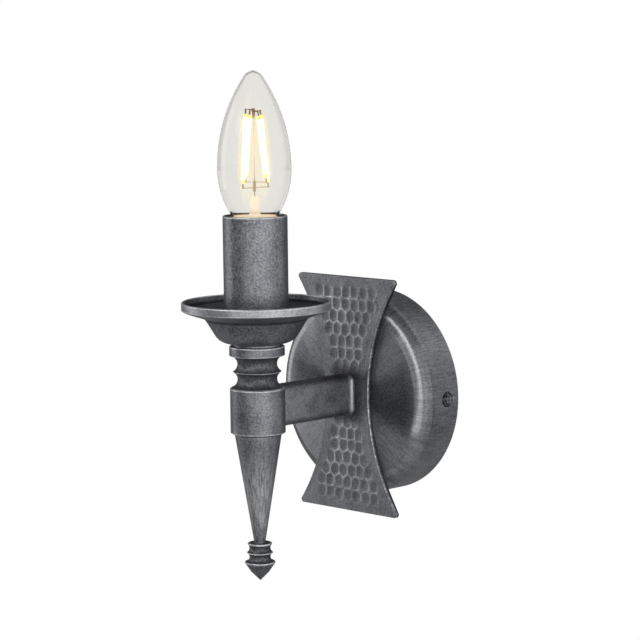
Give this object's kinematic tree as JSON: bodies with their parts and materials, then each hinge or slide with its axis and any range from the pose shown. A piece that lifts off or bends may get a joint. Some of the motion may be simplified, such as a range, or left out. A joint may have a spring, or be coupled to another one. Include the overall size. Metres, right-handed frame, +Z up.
{
  "type": "torch sconce",
  "caption": "Wall light like a torch: round wall cup, waisted hammered plate, short arm, and a tapered turned torch with drip pan, candle sleeve and flame-shaped bulb.",
  "frame": {"origin": "midway between the bracket's two wall-screw holes, on the wall plane, behind the middle of the round wall cup", "axes": "+Y into the wall, +Z up along the torch, +X to the right seen from the room"},
  "size_m": [0.1018, 0.1215, 0.2411],
  "materials": {
    "cup_finish": "dark pewter, brushed on the front",
    "plate_finish": "dark pewter, hammered, edges rubbed bright",
    "turned_finish": "dark pewter, edges rubbed bright",
    "screw_finish": "dark pewter",
    "zinc_steel": "zinc plated",
    "brass": "plain",
    "block_plastic": "moulded",
    "holder_plastic": "moulded",
    "live_insulation": "smooth",
    "neutral_insulation": "smooth",
    "earth_insulation": "smooth",
    "cap_metal": "plain",
    "cap_ceramic": "glazed",
    "circuit_board": "lacquered",
    "clear_glass": "clear",
    "lead_wire": "plain",
    "glowing_filament": "phosphor coated, glowing"
  },
  "bodies": {
    "root": {"mounting_bracket": "zinc_steel", "earth_screw": "brass", "earth_washer": "brass", "ring_terminal": "zinc_steel", "terminal_block": "block_plastic", "terminal_inserts": "brass", "terminal_screws": "zinc_steel", "block_screw": "zinc_steel", "wall_cup": "cup_finish", "side_screws": "screw_finish", "hammered_plate": "plate_finish", "arm": "turned_finish", "arm_nipple": "zinc_steel", "arm_washer": "zinc_steel", "arm_nut": "zinc_steel", "socket_collar": "turned_finish", "stem_rod": "zinc_steel", "stem_neck": "turned_finish", "tie_rod": "zinc_steel", "taper_cone": "turned_finish", "finial": "turned_finish", "drip_pan": "turned_finish", "pan_washer": "zinc_steel", "pan_nut": "zinc_steel", "candle_tube": "turned_finish", "holder_base": "holder_plastic", "holder_skirt": "holder_plastic", "holder_thread": "zinc_steel", "centre_contact": "brass", "side_contact": "brass", "holder_terminals": "brass", "holder_screws": "zinc_steel", "live_wire": "live_insulation", "neutral_wire": "neutral_insulation", "earth_wire": "earth_insulation"},
    "bulb": {"bulb_cap": "cap_metal", "cap_insulator": "cap_ceramic", "cap_contact": "cap_metal", "bulb_driver": "circuit_board", "bulb_glass": "clear_glass", "bulb_stem": "clear_glass", "filament_wires": "lead_wire", "bulb_filaments": "glowing_filament"}
  },
  "joints": [
    {"name": "bulb_unscrew", "type": "slide", "parent": "root", "child": "bulb", "axis": [0, 0, 1], "range_m": [0, 0.036]}
  ]
}
